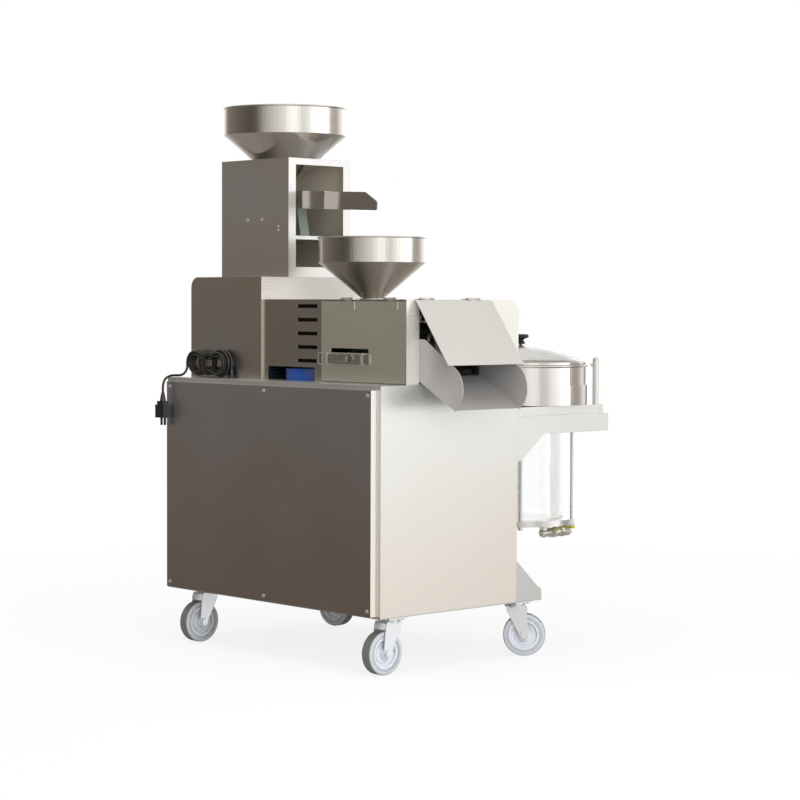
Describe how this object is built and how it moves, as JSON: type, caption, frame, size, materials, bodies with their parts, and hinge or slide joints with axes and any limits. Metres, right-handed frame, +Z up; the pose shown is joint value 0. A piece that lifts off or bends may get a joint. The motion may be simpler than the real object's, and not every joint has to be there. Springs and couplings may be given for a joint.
{
  "type": "oil press",
  "caption": "Stainless screw oil press on swivel casters with a vibrating hopper feeder, hinged cake outlet and a lidded vacuum filter pan over a clear oil collector.",
  "frame": {"origin": "on the floor, under the middle of the machine's bounding box without its cord", "axes": "+X along the cabinet towards the cake outlet, +Y towards the operator's side with the controls and the filter, +Z up"},
  "size_m": [0.9324, 0.8202, 1.314],
  "materials": {
    "sheet_steel": "brushed",
    "spun_steel": "polished",
    "fastener_steel": "plain",
    "zinc_steel": "zinc plated",
    "tyre_grey": "matte",
    "hub_grey": "satin",
    "spring_sheet": "laminate",
    "coil_brown": "varnished",
    "drive_blue": "painted",
    "press_steel": "machined",
    "mica_band": "satin",
    "lid_glass": "clear",
    "tube_clear": "clear",
    "black_plastic": "satin",
    "panel_grey": "matte",
    "lever_yellow": "dipped",
    "start_green": "gloss",
    "stop_red": "gloss",
    "pump_black": "painted",
    "cord_black": "matte"
  },
  "bodies": {
    "frame": {"cabinet_shell": "sheet_steel", "cabinet_base": "sheet_steel", "rear_panel": "sheet_steel", "cover_screws": "fastener_steel", "caster_plates": "zinc_steel", "control_box": "sheet_steel", "press_housing": "sheet_steel", "hinge_leaves": "fastener_steel", "cake_chute": "spun_steel", "feeder_tower": "sheet_steel", "feeder_base": "sheet_steel", "leaf_springs": "spring_sheet", "vibrator_coil": "coil_brown", "gear_reducer": "drive_blue", "drive_motor": "drive_blue", "press_barrel": "press_steel", "heater_band": "mica_band", "choke_nut": "press_steel", "oil_tray": "spun_steel", "filter_shelf": "sheet_steel", "filter_pan": "spun_steel", "filter_screen": "spun_steel", "collector_tube": "tube_clear", "collector_plate": "fastener_steel", "tie_rods": "fastener_steel", "drain_valve": "fastener_steel", "control_panel": "panel_grey", "vacuum_pump": "pump_black", "cord_gland": "cord_black", "cord_hank": "cord_black", "cord_run": "cord_black", "power_plug": "cord_black"},
    "fork_rr": {"caster_fork_rr": "zinc_steel"},
    "wheel_rr": {"wheel_hub_rr": "hub_grey", "wheel_tyre_rr": "tyre_grey"},
    "fork_rl": {"caster_fork_rl": "zinc_steel"},
    "wheel_rl": {"wheel_hub_rl": "hub_grey", "wheel_tyre_rl": "tyre_grey"},
    "fork_fr": {"caster_fork_fr": "zinc_steel"},
    "wheel_fr": {"wheel_hub_fr": "hub_grey", "wheel_tyre_fr": "tyre_grey"},
    "fork_fl": {"caster_fork_fl": "zinc_steel"},
    "wheel_fl": {"wheel_hub_fl": "hub_grey", "wheel_tyre_fl": "tyre_grey"},
    "door": {"rear_door": "sheet_steel"},
    "latch": {"latch_bar": "fastener_steel"},
    "flap": {"cake_flap": "spun_steel"},
    "trough": {"feed_trough": "spun_steel"},
    "upper_hopper": {"feed_hopper": "spun_steel"},
    "lower_hopper": {"press_hopper": "spun_steel"},
    "screw": {"press_shaft": "press_steel", "press_worm": "press_steel"},
    "lid": {"lid_glass": "lid_glass", "lid_rim": "spun_steel", "lid_knob": "black_plastic"},
    "lever": {"valve_lever": "lever_yellow"},
    "selector": {"selector_knob": "black_plastic"},
    "speed": {"speed_knob": "black_plastic"},
    "start": {"start_button": "start_green"},
    "stop": {"stop_button": "stop_red"}
  },
  "joints": [
    {"name": "rear_right_swivel", "type": "hinge", "parent": "frame", "child": "fork_rr", "pos_m": [0.29425, -0.32325, 0.122], "axis": [0, 0, 1], "continuous": true},
    {"name": "rear_right_roll", "type": "hinge", "parent": "fork_rr", "child": "wheel_rr", "pos_m": [0.29425, -0.34525, 0.05], "axis": [1, 0, 0], "continuous": true},
    {"name": "rear_left_swivel", "type": "hinge", "parent": "frame", "child": "fork_rl", "pos_m": [-0.37275, -0.32325, 0.122], "axis": [0, 0, 1], "continuous": true},
    {"name": "rear_left_roll", "type": "hinge", "parent": "fork_rl", "child": "wheel_rl", "pos_m": [-0.37275, -0.34525, 0.05], "axis": [1, 0, 0], "continuous": true},
    {"name": "front_right_swivel", "type": "hinge", "parent": "frame", "child": "fork_fr", "pos_m": [0.29425, 0.08275, 0.122], "axis": [0, 0, 1], "continuous": true},
    {"name": "front_right_roll", "type": "hinge", "parent": "fork_fr", "child": "wheel_fr", "pos_m": [0.31034, 0.09775, 0.05], "axis": [-0.682, 0.7314, 0], "continuous": true},
    {"name": "front_left_swivel", "type": "hinge", "parent": "frame", "child": "fork_fl", "pos_m": [-0.37275, 0.08275, 0.122], "axis": [0, 0, 1], "continuous": true},
    {"name": "front_left_roll", "type": "hinge", "parent": "fork_fl", "child": "wheel_fl", "pos_m": [-0.35096, 0.08581, 0.05], "axis": [-0.1392, 0.9903, 0], "continuous": true},
    {"name": "rear_door_hinge", "type": "hinge", "parent": "frame", "child": "door", "pos_m": [0.20325, -0.30675, 0.8435], "axis": [-1, 0, 0], "range_deg": [0, 100]},
    {"name": "door_latch_slide", "type": "slide", "parent": "door", "child": "latch", "axis": [-1, 0, 0], "range_m": [0, 0.025]},
    {"name": "flap_hinge", "type": "hinge", "parent": "frame", "child": "flap", "pos_m": [0.32875, -0.15925, 0.8435], "axis": [0, -1, 0], "range_deg": [0, 115]},
    {"name": "press_hopper_lift", "type": "slide", "parent": "frame", "child": "lower_hopper", "axis": [0, 0, 1], "range_m": [0, 0.05]},
    {"name": "feed_hopper_lift", "type": "slide", "parent": "frame", "child": "upper_hopper", "axis": [0, 0, 1], "range_m": [0, 0.2]},
    {"name": "feeder_vibration", "type": "slide", "parent": "frame", "child": "trough", "axis": [1, 0, 0], "range_m": [-0.0015, 0.0015], "stiffness_N_per_m": 4000},
    {"name": "press_screw_spin", "type": "hinge", "parent": "frame", "child": "screw", "pos_m": [0.05525, -0.15925, 0.744], "axis": [1, 0, 0], "continuous": true},
    {"name": "filter_lid_lift", "type": "slide", "parent": "frame", "child": "lid", "axis": [0, 0, 1], "range_m": [0, 0.18]},
    {"name": "drain_valve_turn", "type": "hinge", "parent": "frame", "child": "lever", "pos_m": [0.19825, 0.32475, 0.284], "axis": [0, 0, 1], "range_deg": [0, 90]},
    {"name": "selector_turn", "type": "hinge", "parent": "frame", "child": "selector", "pos_m": [-0.36775, 0.05975, 0.766], "axis": [0, 1, 0], "range_deg": [-45, 45]},
    {"name": "speed_turn", "type": "hinge", "parent": "frame", "child": "speed", "pos_m": [-0.26375, 0.05975, 0.766], "axis": [0, 1, 0], "range_deg": [-135, 135]},
    {"name": "start_press", "type": "slide", "parent": "frame", "child": "start", "axis": [0, -1, 0], "range_m": [0, 0.004], "stiffness_N_per_m": 600},
    {"name": "stop_press", "type": "slide", "parent": "frame", "child": "stop", "axis": [0, -1, 0], "range_m": [0, 0.004], "stiffness_N_per_m": 600}
  ]
}
